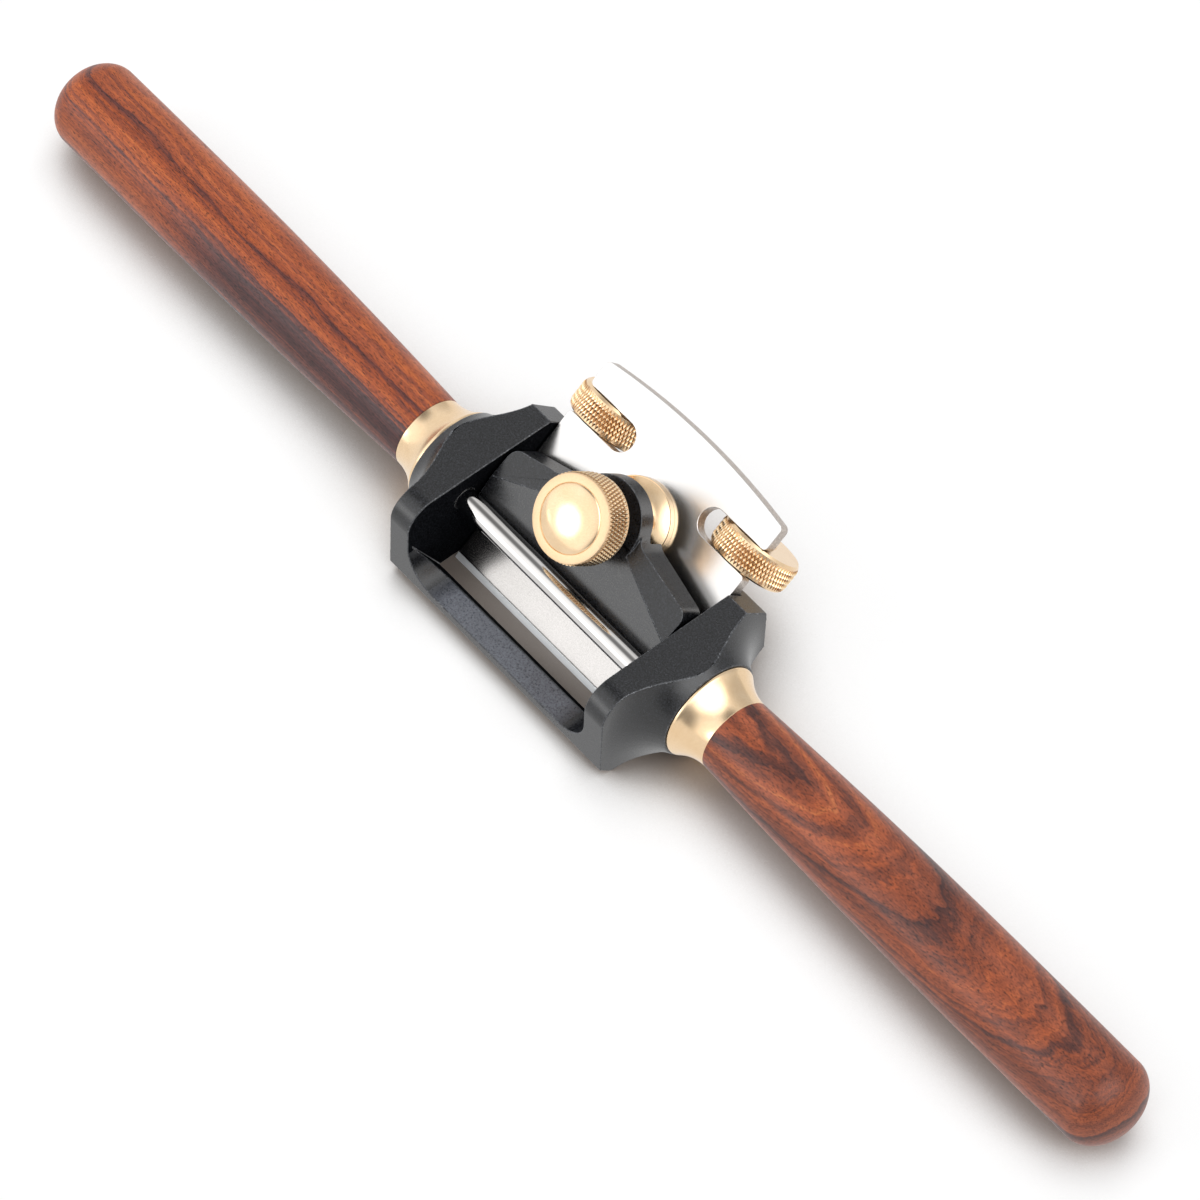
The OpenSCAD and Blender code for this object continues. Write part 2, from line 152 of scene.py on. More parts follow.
def bump(tree, shader, height, distance_mm, strength=1.0):
    """Surface relief of a depth in millimetres."""
    node = add(tree, "ShaderNodeBump", inputs={
        "Height": height, "Distance": distance_mm * MM, "Strength": strength})
    tree.links.new(node.outputs[0], shader.inputs["Normal"])


# ---------------------------------------------------------------- materials

def black_anodised_aluminium(name="Black anodised aluminium", tones=("#060708", "#0f1013", "#292b30"),
                             gloss=0.5, painted_sheen=False):
    """Aluminium, bead blasted and black anodised: a near-black, half-gloss skin with fine pale specks.

    tones run from dark to pale. gloss is 0 for a dull skin without reflections. When its flag is set the skin carries
    a painted sheen: it is paler in the middle of the tool and black again towards its sides.
    """
    material, tree, shader = new_material(name)
    grain = noise(tree, in_mm(tree), 2.7, 3.0, 0.75)       # blasting dimples, drawn about 0.3 mm so that they show
    cloud = noise(tree, in_mm(tree), 0.09, 2.0)            # slight clouding over 10 mm
    colour = ramp(tree, grain, *zip((0.36, 0.50, 0.66), tones))
    # painted sheen: the tones are painted paler in the middle of the tool and darken to black towards its sides
    if painted_sheen:
        sideways = add(tree, "ShaderNodeSeparateXYZ", inputs={0: in_mm(tree)}).outputs["X"]
        ends = spread(tree, maths(tree, "ABSOLUTE", sideways), 16.0, 21.0)
        colour = blend_colours(tree, ends, colour, linear("#17181c"))
    shade_of_cloud = ramp(tree, cloud, (0.3, "#d8d8d8"), (0.7, "#ffffff"))
    feed(tree, shader, {
        "Base Color": blend_colours(tree, 0.5, colour, shade_of_cloud, "MULTIPLY"),
        "Roughness": spread(tree, grain, 0.3, 0.7, 0.24, 0.36), "IOR": 1.6, "Specular IOR Level": gloss})
    bump(tree, shader, grain, 0.006, 0.7)
    return material


def rubbed_edge_with_painted_highlight():
    """Edges of the anodised pieces, where the blasting and handling thin the black to a speckled grey, painted paler
    still as a painted highlight along the edge.
    """
    material, tree, shader = new_material("Rubbed anodised edge, painted highlight")
    grain = noise(tree, in_mm(tree), 2.6, 4.0, 0.8)
    feed(tree, shader, {
        "Base Color": ramp(tree, grain, (0.38, "#1b1c1f"), (0.54, "#3a3c40"), (0.70, "#8c8e92")),
        "Roughness": 0.34})
    bump(tree, shader, grain, 0.02, 0.6)
    return material


def ground_tool_steel():
    """Tool steel, surface ground and lapped: pale satin, with a dark line behind the honed strip at its edge."""
    material, tree, shader = new_material("Ground tool steel")
    place = in_mm(tree)
    grain = noise(tree, place, 4.0, 3.0, 0.7)
    patches = noise(tree, place, 0.06, 2.0)
    colour = blend_colours(tree, 0.3, ramp(tree, grain, (0.3, "#b0adaa"), (0.7, "#c4c1bf")),
                           ramp(tree, patches, (0.3, "#aba8a5"), (0.7, "#c6c3c1")))
    up_iron = add(tree, "ShaderNodeVectorMath", {"operation": "DOT_PRODUCT"}, {
        0: place, 1: JOINTS["iron_slide"]["axis"]}).outputs["Value"]
    # painted light: the steel is painted paler from 12 to 20 mm up the iron
    colour = blend_colours(tree, spread(tree, up_iron, 12.0, 20.0, 0.0, 0.85), colour, linear("#e3e1df"))
    wobble = maths(tree, "MULTIPLY", noise(tree, place, 0.7, 2.0), 0.14)
    behind = maths(tree, "ADD", up_iron, maths(tree, "SUBTRACT", wobble, EDGE_UP_IRON + HONED))
    line = maths(tree, "SUBTRACT", spread(tree, behind, -0.02, 0.06), spread(tree, behind, 0.22, 0.34))
    feed(tree, shader, {
        "Base Color": blend_colours(tree, maths(tree, "MULTIPLY", line, 0.8), colour, linear("#383432")),
        "Metallic": 1.0, "Roughness": spread(tree, grain, 0.3, 0.7, 0.19, 0.23)})
    return material


def honed_steel_strip():
    """The strip along the cutting edge, matted by the stone: an even pale grey."""
    material, tree, shader = new_material("Honed steel strip")
    strokes = noise(tree, in_mm(tree, scale=(0.25, 4, 4)), 1.0, 2.0)
    feed(tree, shader, {
        "Base Color": ramp(tree, strokes, (0.3, "#f0f4f7"), (0.7, "#fafcfd")), "Metallic": 0.35, "Roughness": 0.5})
    return material


def sawn_steel_edge():
    """The iron's cut edges: darker grey-brown steel, coarse and speckled."""
    material, tree, shader = new_material("Cut steel edge")
    grain = noise(tree, in_mm(tree), 3.2, 3.0, 0.7)
    feed(tree, shader, {
        "Base Color": ramp(tree, grain, (0.34, "#9a9089"), (0.55, "#c8beb6"), (0.7, "#ece5de")),
        "Metallic": 1.0, "Roughness": 0.42})
    bump(tree, shader, grain, 0.02, 0.8)
    return material


def polished_steel():
    """Ground and polished steel rod: sharp dark and bright bands round it."""
    material, tree, shader = new_material("Polished steel")
    marks = noise(tree, in_mm(tree, scale=(0.12, 0.6, 0.6)), 1.0, 3.0)     # the faintest lengthwise clouding
    feed(tree, shader, {
        "Base Color": ramp(tree, marks, (0.3, "#d0cdca"), (0.7, "#dddbd9")), "Metallic": 1.0,
        "Roughness": spread(tree, marks, 0.3, 0.7, 0.06, 0.10)})
    return material


def turned_steel():
    """Plain turned steel of screws and studs."""
    material, tree, shader = new_material("Turned steel")
    grain = noise(tree, in_mm(tree), 3.0, 3.0, 0.6)
    feed(tree, shader, {
        "Base Color": ramp(tree, grain, (0.3, "#8f8d8b"), (0.7, "#c2c0be")), "Metallic": 1.0, "Roughness": 0.3})
    return material


def satin_brass(name="Satin brass", smooth=0.18, rough=0.26):
    """Turned brass with a fine satin finish: pale warm gold, soft cream highlights."""
    material, tree, shader = new_material(name)
    grain = noise(tree, in_mm(tree), 4.0, 3.0, 0.7)
    clouds = noise(tree, in_mm(tree), 0.18, 3.0)
    feed(tree, shader, {
        "Base Color": blend_colours(tree, 0.4, ramp(tree, grain, (0.3, "#e8c79d"), (0.7, "#f4d9b3")),
                                    ramp(tree, clouds, (0.3, "#e4c095"), (0.7, "#f7dfbf"))),
        "Metallic": 1.0, "Roughness": spread(tree, clouds, 0.3, 0.7, smooth, rough)})
    bump(tree, shader, grain, 0.002, 0.4)
    return material


def knurled_brass():
    """Brass as the knurling rolls leave it: the same gold, rougher, with painted shade low on the points and a
    painted highlight on their crests.
    """
    material, tree, shader = new_material("Knurled brass")
    grain = noise(tree, in_mm(tree), 3.0, 3.0, 0.7)
    crest = add(tree, "ShaderNodeAttribute", {"attribute_name": "crest"}).outputs["Fac"]
    # painted shade and highlight: the colour follows each point's height, dark at its foot and near-white at its
    # crest
    height = maths(tree, "ADD", crest, maths(tree, "MULTIPLY", maths(tree, "SUBTRACT", grain, 0.5), 0.5))
    feed(tree, shader, {
        "Base Color": ramp(tree, height, (0.10, "#96653c"), (0.42, "#e0b98a"), (0.75, "#f4d8ae"), (0.95, "#fff3dc")),
        "Metallic": 1.0, "Roughness": 0.26})
    return material


def rosewood(name, turn, shift, sway, heart, tones):
    """Rosewood, turned and oiled: growth layers that run with the turned grain, a dark heart zone, short fine pores.

    turn and shift (mm) lay the grain, which runs along the turned X with its layers square to the turned Y.
    sway is how far the layers wander in mm. heart is where the dark heart begins across the layers, where along
    the grain it begins, and how dark it is. tones are the wood's colours from dark to light.
    """
    material, tree, shader = new_material(name)
    place = in_mm(tree, turn=turn, shift=shift)

    def stretched(along_grain, across, detail, rough=0.55):
        """Noise with its features stretched along the grain; the scales are features per mm."""
        spot = add(tree, "ShaderNodeMapping", inputs={"Vector": place, "Scale": (along_grain, across, across)})
        return noise(tree, spot.outputs[0], 1.0, detail, rough)

    part = add(tree, "ShaderNodeSeparateXYZ", inputs={0: place}).outputs
    bent = maths(tree, "ADD", maths(tree, "MULTIPLY", stretched(0.011, 0.05, 2.0, 0.5), sway),
                 maths(tree, "MULTIPLY", stretched(0.06, 0.3, 3.0, 0.6), 2.4))
    bow = maths(tree, "MULTIPLY", maths(tree, "MULTIPLY", part[2], part[2]), 0.02)
    layer = maths(tree, "ADD", maths(tree, "ADD", part[1], bow), bent)
    bands = add(tree, "ShaderNodeTexNoise", {"noise_dimensions": "1D"}, {
        "W": layer, "Scale": 0.36, "Detail": 6.0, "Roughness": 0.7}).outputs["Fac"]
    across, start, depth = heart
    ragged = maths(tree, "ADD", part[0], maths(tree, "MULTIPLY", bands, 60.0))
    dark = maths(tree, "MULTIPLY", spread(tree, layer, across + 1.5, across - 1.5),
                 spread(tree, ragged, start - 12, start + 12))
    tone = maths(tree, "SUBTRACT", bands, maths(tree, "MULTIPLY", dark, depth))
    fibre = stretched(0.12, 2.2, 4.0, 0.7)
    tone = maths(tree, "ADD", tone, maths(tree, "MULTIPLY", maths(tree, "SUBTRACT", fibre, 0.5), 0.34))
    wood = ramp(tree, tone, *zip((0.27, 0.38, 0.48, 0.60, 0.74), tones))
    pore = stretched(1.1, 6.5, 1.0, 0.5)
    dashes = ramp(tree, pore, (0.34, "#4a3432"), (0.46, "#ffffff"))
    lustre = ramp(tree, stretched(0.5, 0.9, 2.0), (0.3, "#dcd6d4"), (0.7, "#ffffff"))
    worked = blend_colours(tree, 0.8, wood, dashes, "MULTIPLY")
    feed(tree, shader, {
        "Base Color": blend_colours(tree, 0.8, worked, lustre, "MULTIPLY"),
        "Roughness": spread(tree, pore, 0.3, 0.6, 0.5, 0.36)})
    bump(tree, shader, maths(tree, "ADD", pore, maths(tree, "MULTIPLY", fibre, 0.4)), 0.03, 0.35)
    return material


# ---------------------------------------------------------------- shapes

def make_piece(name, mesh, material, body, nodes):
    """A finished piece: its material, unless it has its own, its body and the solids it replaces."""
    piece = bpy.data.objects.new(name, mesh)
    bpy.context.scene.collection.objects.link(piece)
    if material is not None:
        painted(mesh, material)
    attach(piece, body)
    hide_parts(*nodes)
    return piece


def along(origin, axis):
    """Placement with +Z along an axis and +X as level as can be."""
    z = Vector(axis).normalized()
    x = Vector((1, 0, 0)) if abs(z.x) < 0.9 else Vector((0, 1, 0))
    y = z.cross(x).normalized()
    x = y.cross(z).normalized()
    return Matrix.Translation(Vector(origin)) @ Matrix((x, y, z)).transposed().to_4x4()


def turned(name, profile, origin, axis, steps=128):
    """A turned mesh from (radius, distance along the axis) points in metres, closed at both ends."""
    points = list(profile)
    if points[0][0] > 0 and points[0] != points[-1]:
        points = [(0.0, points[0][1])] + points
    if points[-1][0] > 0 and points[0][0] == 0:
        points = points + [(0.0, points[-1][1])]
    ring = bmesh.new()
    rows = []
    for radius, height in points:
        if radius == 0:
            rows.append([ring.verts.new((0, 0, height))])
        else:
            rows.append([ring.verts.new((radius * math.cos(2 * math.pi * i / steps),
                                         radius * math.sin(2 * math.pi * i / steps), height))
                         for i in range(steps)])
    for low, high in zip(rows, rows[1:]):
        for i in range(steps):
            j = (i + 1) % steps
            corners = [low[i % len(low)], low[j % len(low)], high[j % len(high)], high[i % len(high)]]
            unique = list(dict.fromkeys(corners))
            if len(unique) > 2:
                ring.faces.new(unique)
    bmesh.ops.recalc_face_normals(ring, faces=ring.faces)
    mesh = bpy.data.meshes.new(name)
    ring.to_mesh(mesh)
    ring.free()
    mesh.transform(along(origin, axis))
    shade(mesh, 30)
    return mesh


def shade(mesh, angle):
    """Smooth shading, with edges sharper than an angle in degrees kept crisp."""
    mesh.shade_smooth()
    mesh.set_sharp_from_angle(angle=math.radians(angle))


def arc(centre, radius, start, end, steps):
    """Points on an arc, angles in degrees, as (radius, height) pairs."""
    return [(centre[0] + radius * math.cos(math.radians(start + (end - start) * i / steps)),
             centre[1] + radius * math.sin(math.radians(start + (end - start) * i / steps)))
            for i in range(steps + 1)]


def eased_copy(name, node, width, skin, edge, angle=30, cuts=()):
    """Copy of a solid in its skin, with its sharp edges broken to a small bevel of another finish.

    cuts are planes, as (point, normal), that only divide faces, so that the parts can differ in finish.
    """
    source = frame["nodes"][node]
    work = bmesh.new()
    work.from_mesh(source.data)
    bmesh.ops.remove_doubles(work, verts=work.verts, dist=1e-6)
    bmesh.ops.dissolve_limit(work, angle_limit=math.radians(0.3), verts=work.verts, edges=work.edges)
    bmesh.ops.recalc_face_normals(work, faces=work.faces)
    for point, normal in cuts:
        bmesh.ops.bisect_plane(work, geom=work.verts[:] + work.edges[:] + work.faces[:], dist=1e-7,
                               plane_co=point, plane_no=normal)
    bmesh.ops.triangulate(work, faces=work.faces[:], ngon_method="EAR_CLIP")
    for face in work.faces:
        face.material_index = 0
    solid = BVHTree.FromBMesh(work)
    mesh = bpy.data.meshes.new(name)
    work.to_mesh(mesh)
    work.free()
    mesh.materials.clear()
    mesh.materials.append(skin)
    mesh.materials.append(edge)
    shade(mesh, min(angle, 30))
    holder = bpy.data.objects.new(name + "_work", mesh)
    bpy.context.scene.collection.objects.link(holder)
    ease = holder.modifiers.new("Broken edges", "BEVEL")
    ease.width = width
    ease.segments = 2
    ease.limit_method = "ANGLE"
    ease.angle_limit = math.radians(angle)
    ease.use_clamp_overlap = False
    ease.loop_slide = False
    ease.miter_outer = "MITER_ARC"
    ease.material = 1
    graph = bpy.context.evaluated_depsgraph_get()
    result = bpy.data.meshes.new_from_object(holder.evaluated_get(graph))
    bpy.data.objects.remove(holder)
    result.name = name
    for corner in result.vertices:         # a bevel that ran past a short edge goes back on the solid
        near, _, _, away = solid.find_nearest(corner.co)
        if away > 0.6 * width:
            corner.co = near
    level_normals(result)
    return result


def level_normals(mesh, turn=25):
    """Shades flat faces flat however they are divided, curves smooth, and rolls a broken edge between its faces.

    Faces of the first material are the piece's own. Where two of them meet at less than turn degrees they are
    one curve, and the larger plane has the more say in its shading.
    """
    planes = {}
    keys = []
    for face in mesh.polygons:
        key = tuple(round(value, 3) for value in face.normal) + (round(face.normal.dot(face.center), 5),)
        keys.append(key)
        planes[key] = planes.get(key, 0.0) + face.area
    around = {}
    for face, key in zip(mesh.polygons, keys):
        if face.material_index == 0 and face.area > 1e-14:
            for corner in face.vertices:
                around.setdefault(corner, []).append((face.normal.copy(), planes[key]))
    fitting = math.cos(math.radians(turn))
    normals = []
    for face in mesh.polygons:
        for corner in face.vertices:
            beside = around.get(corner, [])
            if face.material_index == 0:
                beside = [pair for pair in beside if pair[0].dot(face.normal) > fitting]
            total = sum((normal * area for normal, area in beside), Vector())
            if total.length == 0:
                total = mesh.vertices[corner].normal
            normals.append(total.normalized())
    for face in mesh.polygons:
        face.use_smooth = True
    mesh.normals_split_custom_set(normals)


def knurl_tree():
    """Node tree that covers a cylinder with rows of diamond points, as two crossing knurling rolls press them."""
    tree = bpy.data.node_groups.new("Diamond knurl", "GeometryNodeTree")
    for label, kind, value in (("Radius", "NodeSocketFloat", 0.0089), ("Width", "NodeSocketFloat", 0.007),
                               ("Around", "NodeSocketInt", 56), ("Rows", "NodeSocketInt", 13),
                               ("Depth", "NodeSocketFloat", 0.0003), ("Material", "NodeSocketMaterial", None)):
        socket = tree.interface.new_socket(label, in_out="INPUT", socket_type=kind)
        if value is not None:
            socket.default_value = value
    tree.interface.new_socket("Geometry", in_out="OUTPUT", socket_type="NodeSocketGeometry")
    given = add(tree, "NodeGroupInput").outputs

    def number(operation, a, b=0.0):
        return add(tree, "ShaderNodeMath", {"operation": operation}, {0: a, 1: b}).outputs[0]

    index = add(tree, "GeometryNodeInputIndex").outputs[0]
    row = number("FLOOR", number("DIVIDE", index, given["Around"]))
    column = number("SUBTRACT", index, number("MULTIPLY", row, given["Around"]))
    stagger = number("MULTIPLY", number("MODULO", row, 2.0), 0.5)
    angle = number("MULTIPLY", number("DIVIDE", number("ADD", column, stagger), given["Around"]), 2 * math.pi)
    step = number("DIVIDE", given["Width"], number("ADD", given["Rows"], 1.0))
    height = number("MULTIPLY", number("ADD", row, 1.0), step)
    outward = add(tree, "ShaderNodeCombineXYZ", inputs={
        "X": number("COSINE", angle), "Y": number("SINE", angle), "Z": 0.0}).outputs[0]
    foot = add(tree, "ShaderNodeVectorMath", {"operation": "SCALE"}, {
        0: outward, "Scale": number("SUBTRACT", given["Radius"], given["Depth"])}).outputs[0]
    lift = add(tree, "ShaderNodeCombineXYZ", inputs={"X": 0.0, "Y": 0.0, "Z": height}).outputs[0]
    spot = add(tree, "ShaderNodeVectorMath", {"operation": "ADD"}, {0: foot, 1: lift}).outputs[0]
    side = add(tree, "ShaderNodeCombineXYZ", inputs={
        "X": number("MULTIPLY", number("SINE", angle), -1.0), "Y": number("COSINE", angle), "Z": 0.0}).outputs[0]
    facing = add(tree, "FunctionNodeAxesToRotation", {"primary_axis": "Z", "secondary_axis": "X"}, {
        0: outward, 1: side}).outputs[0]
    pitch = number("DIVIDE", number("MULTIPLY", given["Radius"], math.pi), given["Around"])
    size = add(tree, "ShaderNodeCombineXYZ", inputs={
        "X": pitch, "Y": step, "Z": given["Depth"]}).outputs[0]
    dots = add(tree, "GeometryNodePoints", inputs={
        "Count": number("MULTIPLY", given["Around"], given["Rows"]), "Position": spot}).outputs[0]
    diamond = add(tree, "GeometryNodeMeshCone", {"fill_type": "NGON"}, {
        "Vertices": 4, "Side Segments": 1, "Radius Top": 0.16, "Radius Bottom": 1.0, "Depth": 1.0}).outputs[0]
    place = add(tree, "GeometryNodeInputPosition").outputs[0]
    level = add(tree, "ShaderNodeSeparateXYZ", inputs={0: place}).outputs["Z"]
    # each point's height, which the knurl's material turns into painted shade and highlight
    diamond = add(tree, "GeometryNodeStoreNamedAttribute", {"data_type": "FLOAT", "domain": "POINT"}, {
        "Geometry": diamond, "Name": "crest", "Value": level}).outputs[0]
    copies = add(tree, "GeometryNodeInstanceOnPoints", inputs={
        "Points": dots, "Instance": diamond, "Rotation": facing, "Scale": size}).outputs[0]
    real = add(tree, "GeometryNodeRealizeInstances", inputs={0: copies}).outputs[0]
    finished = add(tree, "GeometryNodeSetMaterial", inputs={
        "Geometry": real, "Material": given["Material"]}).outputs[0]
    add(tree, "NodeGroupOutput", inputs={0: finished})
    return tree


def knurl(name, radius, width, pitch, row, depth, material, origin, axis):
    """Plain mesh of the diamond points on a cylinder that starts at the origin."""
    tree = bpy.data.node_groups.get("Diamond knurl") or knurl_tree()
    holder = bpy.data.objects.new(name + "_work", bpy.data.meshes.new(name + "_work"))
    bpy.context.scene.collection.objects.link(holder)
    modifier = holder.modifiers.new("Knurl", "NODES")
    modifier.node_group = tree
    values = {"Radius": radius, "Width": width, "Around": round(2 * math.pi * radius / pitch),
              "Rows": max(3, round(2 * width / row) - 1), "Depth": depth, "Material": material}
    for item in tree.interface.items_tree:
        if item.in_out == "INPUT":
            modifier[item.identifier] = values[item.name]
    holder.update_tag()
    graph = bpy.context.evaluated_depsgraph_get()
    mesh = bpy.data.meshes.new_from_object(holder.evaluated_get(graph))
    holder.modifiers.remove(modifier)
    bpy.data.objects.remove(holder)
    mesh.name = name
    mesh.transform(along(origin, axis))
    if not len(mesh.polygons):
        raise RuntimeError("The knurl " + name + " came out empty")
    return mesh


def threaded(name, origin, axis, radius, pitch, start, end, steps=40):
    """A screw's helical thread of triangular section as one closed mesh, between two distances along its axis."""
    depth = 0.54 * pitch       # of a 60 degree thread with its root and crest cut flat
    rows = max(2, math.ceil((end - start) / pitch * 8))
    work = bmesh.new()
    rings = []
    for row in range(rows + 1):
        height = start + (end - start) * row / rows
        ring = []
        for i in range(steps):
            turn = i / steps
            phase = (height / pitch - turn) % 1.0
            near = abs(phase - 0.5) * 2
            here = radius - depth * min(1.0, max(0.0, near * 1.15 - 0.08))
            around = 2 * math.pi * turn
            ring.append(work.verts.new((here * math.cos(around), here * math.sin(around), height)))
        rings.append(ring)
    for low, high in zip(rings, rings[1:]):
        for i in range(steps):
            j = (i + 1) % steps
            work.faces.new((low[i], low[j], high[j], high[i]))
    work.faces.new(list(reversed(rings[0])))
    work.faces.new(rings[-1])
    bmesh.ops.recalc_face_normals(work, faces=work.faces)
    mesh = bpy.data.meshes.new(name)
    work.to_mesh(mesh)
    work.free()
    mesh.transform(along(origin, axis))
    shade(mesh, 50)
    return mesh


def joined(name, *meshes):
    """One mesh from several, with their materials kept."""
    work = bmesh.new()
    materials = []
    for mesh in meshes:
        slots = [materials.index(m) if m in materials else materials.append(m) or len(materials) - 1
                 for m in mesh.materials]
        start = len(work.faces)
        work.from_mesh(mesh)
        work.faces.ensure_lookup_table()
        for face in work.faces[start:]:
            face.material_index = slots[face.material_index] if slots else 0
    result = bpy.data.meshes.new(name)
    work.to_mesh(result)
    work.free()
    for material in materials:
        result.materials.append(material)
    return result


def painted(mesh, material):
    """The mesh with one material."""
    mesh.materials.clear()
    mesh.materials.append(material)
    return mesh


MADE = {}     # materials so far, by their maker and what it was given


def material_once(maker, *args):
    """A material made by a function, the first time it is asked for."""
    key = maker.__name__ + repr(args)
    if key not in MADE:
        MADE[key] = maker(*args)
    return MADE[key]


# ---------------------------------------------------------------- settings

class SpokeshaveMetal(bpy.types.PropertyGroup):
    """Sizes of the milled and turned metal pieces."""
    frame_edge: FloatProperty(name="Frame edge", description="Width of the broken edges on the frame",
                              default=0.00022, min=0.0001, max=0.0008, unit="LENGTH", precision=5)
    cap_edge: FloatProperty(name="Cap edge", description="Width of the broken edges on the lever cap",
                            default=0.00016, min=0.0001, max=0.0006, unit="LENGTH", precision=5)
    iron_edge: FloatProperty(name="Iron edge", description="Width of the broken edges on the iron",
                             default=0.00012, min=0.00005, max=0.0003, unit="LENGTH", precision=5)
    knob_radius: FloatProperty(name="Knob radius", description="Radius over the knob's knurl",
                               default=0.00902, min=0.008, max=0.0095, unit="LENGTH", precision=5)
    knob_height: FloatProperty(name="Knob height", description="Height of the knob without its dome",
                               default=0.0074, min=0.006, max=0.009, unit="LENGTH", precision=5)
    wheel_radius: FloatProperty(name="Wheel radius", description="Radius over a depth wheel's knurl",
                                default=0.00878, min=0.008, max=0.0095, unit="LENGTH", precision=5)
    wheel_width: FloatProperty(name="Wheel width", description="Width of a depth wheel",
                               default=0.0062, min=0.004, max=0.0066, unit="LENGTH", precision=5)
    knurl_pitch: FloatProperty(name="Knurl pitch", description="Distance between the knurl's diamonds round the rim",
                               default=0.00080, min=0.0006, max=0.002, unit="LENGTH", precision=5)
    knurl_row: FloatProperty(name="Knurl length", description="Length of one of the knurl's diamonds along the axis",
                             default=0.0021, min=0.0006, max=0.003, unit="LENGTH", precision=5)
    knurl_depth: FloatProperty(name="Knurl depth", description="Height of the knurl's points",
                               default=0.00030, min=0.0001, max=0.0006, unit="LENGTH", precision=5)


class SpokeshaveWood(bpy.types.PropertyGroup):
    """Shape of the turned handles."""
    neck_radius: FloatProperty(name="Neck radius", description="Radius at the ferrule",
                               default=0.0081, min=0.0075, max=0.009, unit="LENGTH", precision=5)
    belly_radius: FloatProperty(name="Belly radius", description="Largest radius",
                                default=0.0097, min=0.009, max=0.011, unit="LENGTH", precision=5)
    end_radius: FloatProperty(name="End radius", description="Radius where the round end starts",
                              default=0.0096, min=0.009, max=0.011, unit="LENGTH", precision=5)
    end_length: FloatProperty(name="End length", description="Length of the round end",
                              default=0.0072, min=0.005, max=0.01, unit="LENGTH", precision=5)
    belly_at: FloatProperty(name="Belly place", description="Share of the length at which a handle is thickest",
                            default=0.65, min=0.5, max=0.8, subtype="FACTOR")


class SpokeshaveStage(bpy.types.PropertyGroup):
    """Camera, floor and lamps."""
    camera_place: FloatVectorProperty(name="Camera place", description="Where the camera stands",
                                      default=(0.6088, -0.5578, 1.2129), subtype="TRANSLATION", unit="LENGTH")
    camera_right: FloatVectorProperty(name="Camera right", description="Direction to the right of the view",
                                      default=(0.6477, 0.7614, 0.0286), subtype="DIRECTION")
    camera_back: FloatVectorProperty(name="Camera back", description="Direction from the object to the camera",
                                     default=(0.4143, -0.3834, 0.8254), subtype="DIRECTION")
    lens: FloatProperty(name="Lens", description="Focal length on a sensor 36 mm wide",
                        default=228.7, min=50, max=400)
    floor_colour: FloatVectorProperty(name="Floor colour", description="Colour of the pale floor",
                                      default=linear("#f6f6f6")[:3], size=3, min=0, max=1, subtype="COLOR")
    world_strength: FloatProperty(name="World strength", description="Strength of the surrounding light",
                                  default=0.55, min=0, max=2)


# ---------------------------------------------------------------- operators

class SPOKESHAVE_OT_frame(bpy.types.Operator):
    """Makes the milled frame with its broken edges"""
    bl_idname = "spokeshave.frame"
    bl_label = "Frame"

    def execute(self, context):
        sizes = context.scene.spokeshave_metal
        mesh = eased_copy("milled_frame", "frame", sizes.frame_edge, material_once(black_anodised_aluminium),
                          material_once(rubbed_edge_with_painted_highlight))
        # painted sheen: a paler copy of the anodised skin, for the top of the toe bar
        mesh.materials.append(material_once(black_anodised_aluminium, "Black anodised aluminium, handled",
                                            ("#43464c", "#575a62", "#6b6e77"), 0.5, True))
        # painted shade: a darker copy of the anodised skin with no gloss, for the toe bar's back wall and the inner
        # cheeks
        mesh.materials.append(material_once(black_anodised_aluminium, "Black anodised aluminium, matt",
                                            ("#08090a", "#131417", "#232529"), 0.0))
        skin, painted_sheen, painted_shade = 0, 2, 3                  # 1 is the broken edges
        toe_wall = Vector((0, 0.866, 0.5))             # the way that the toe bar's back wall faces
        half_throat = 26 * MM
        for face in mesh.polygons:
            middle = face.center
            on_toe_bar = face.normal.z > 0.98 and middle.y < -15 * MM and middle.z < 6 * MM
            on_toe_wall = face.normal.dot(toe_wall) > 0.98 and middle.y < 0
            on_inner_cheek = (abs(face.normal.x) > 0.98 and face.normal.x * middle.x < 0
                              and abs(abs(middle.x) - half_throat) < 0.2 * MM)
            # the top of the toe bar takes the painted sheen
            if on_toe_bar:
                face.material_index = painted_sheen
            # the toe bar's back wall and the inner cheeks take the painted shade
            elif face.material_index == skin and (on_toe_wall or on_inner_cheek):
                face.material_index = painted_shade
        make_piece("milled_frame", mesh, None, "frame_body", ["frame"])
        return {"FINISHED"}


class SPOKESHAVE_OT_iron(bpy.types.Operator):
    """Makes the iron, with pale faces and darker cut edges"""
    bl_idname = "spokeshave.iron"
    bl_label = "Iron"

    def execute(self, context):
        sizes = context.scene.spokeshave_metal
        along_iron = Vector(JOINTS["iron_slide"]["axis"])
        across = Vector((1, 0, 0)).cross(along_iron)
        reach = (EDGE_UP_IRON + HONED) * MM
        mesh = eased_copy("ground_iron", "blade", sizes.iron_edge, material_once(ground_tool_steel),
                          material_once(sawn_steel_edge), cuts=[(along_iron * reach, along_iron)])
        mesh.materials.append(material_once(honed_steel_strip))
        ground, sawn, honed = 0, 1, 2
        for face in mesh.polygons:
            facing = face.normal.dot(across)
            if abs(facing) < 0.3:
                face.material_index = sawn
            else:
                at_edge = facing > 0.9 and face.center.dot(along_iron) < reach
                face.material_index = honed if at_edge else ground
        make_piece("ground_iron", mesh, None, "iron", ["blade"])
        return {"FINISHED"}


class SPOKESHAVE_OT_lever_cap(bpy.types.Operator):
    """Makes the lever cap with its broken edges"""
    bl_idname = "spokeshave.lever_cap"
    bl_label = "Lever cap"

    def execute(self, context):
        sizes = context.scene.spokeshave_metal
        mesh = eased_copy("milled_lever_cap", "lever_cap", sizes.cap_edge, material_once(black_anodised_aluminium),
                          material_once(rubbed_edge_with_painted_highlight), 9)
        make_piece("milled_lever_cap", mesh, None, "cap", ["lever_cap"])
        return {"FINISHED"}


